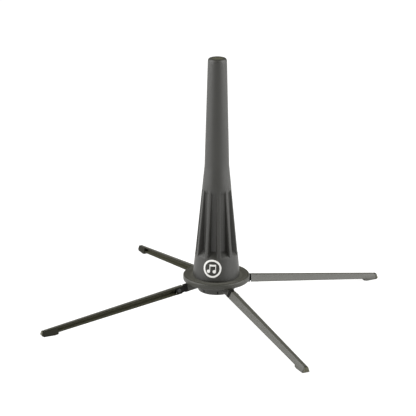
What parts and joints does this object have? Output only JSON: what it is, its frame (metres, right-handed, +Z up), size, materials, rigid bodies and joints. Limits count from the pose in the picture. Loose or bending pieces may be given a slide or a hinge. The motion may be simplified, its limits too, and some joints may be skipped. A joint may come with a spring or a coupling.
{
  "type": "trumpet stand",
  "caption": "Free-standing in-bell stand for a trumpet: a fluted, tapered hollow peg on a dished flange, with slim hinged legs that fold down.",
  "frame": {"origin": "on the peg's axis, at the level the feet stand on", "axes": "+Z up along the peg; the right leg lies along +X, the back leg along +Y, the left leg along -X, the front leg along -Y"},
  "size_m": [0.3864, 0.3864, 0.2628],
  "materials": {
    "peg_plastic": "satin charcoal, finely grained moulding",
    "cap_plastic": "matt brownish grey moulding",
    "badge_print": "light grey printed ring on charcoal",
    "base_plastic": "satin charcoal moulding",
    "hub_metal": "charcoal powder coat on die-cast zinc",
    "leg_steel": "charcoal powder coat on steel",
    "pin_steel": "blackened steel",
    "screw_steel": "zinc plated",
    "foot_rubber": "matt olive black"
  },
  "bodies": {
    "base": {"peg_shell": "peg_plastic", "peg_cap": "cap_plastic", "peg_badge": "badge_print", "peg_screws": "screw_steel", "base_flange": "base_plastic", "hub_body": "hub_metal", "hub_cover": "base_plastic"},
    "right_leg": {"leg_right": "leg_steel", "hinge_pin_right": "pin_steel", "hinge_washer_right": "pin_steel", "foot_right": "foot_rubber"},
    "back_leg": {"leg_back": "leg_steel", "hinge_pin_back": "pin_steel", "hinge_washer_back": "pin_steel", "foot_back": "foot_rubber"},
    "left_leg": {"leg_left": "leg_steel", "hinge_pin_left": "pin_steel", "hinge_washer_left": "pin_steel", "foot_left": "foot_rubber"},
    "front_leg": {"leg_front": "leg_steel", "hinge_pin_front": "pin_steel", "hinge_washer_front": "pin_steel", "foot_front": "foot_rubber"}
  },
  "joints": [
    {"name": "right_leg_fold", "type": "hinge", "parent": "base", "child": "right_leg", "pos_m": [0.0435, 0, 0.025], "axis": [0, 1, 0], "range_deg": [0, 82]},
    {"name": "back_leg_fold", "type": "hinge", "parent": "base", "child": "back_leg", "pos_m": [0, 0.0435, 0.025], "axis": [-1, 0, 0], "range_deg": [0, 82]},
    {"name": "left_leg_fold", "type": "hinge", "parent": "base", "child": "left_leg", "pos_m": [-0.0435, 0, 0.025], "axis": [0, -1, 0], "range_deg": [0, 82]},
    {"name": "front_leg_fold", "type": "hinge", "parent": "base", "child": "front_leg", "pos_m": [0, -0.0435, 0.025], "axis": [1, 0, 0], "range_deg": [0, 82]}
  ]
}
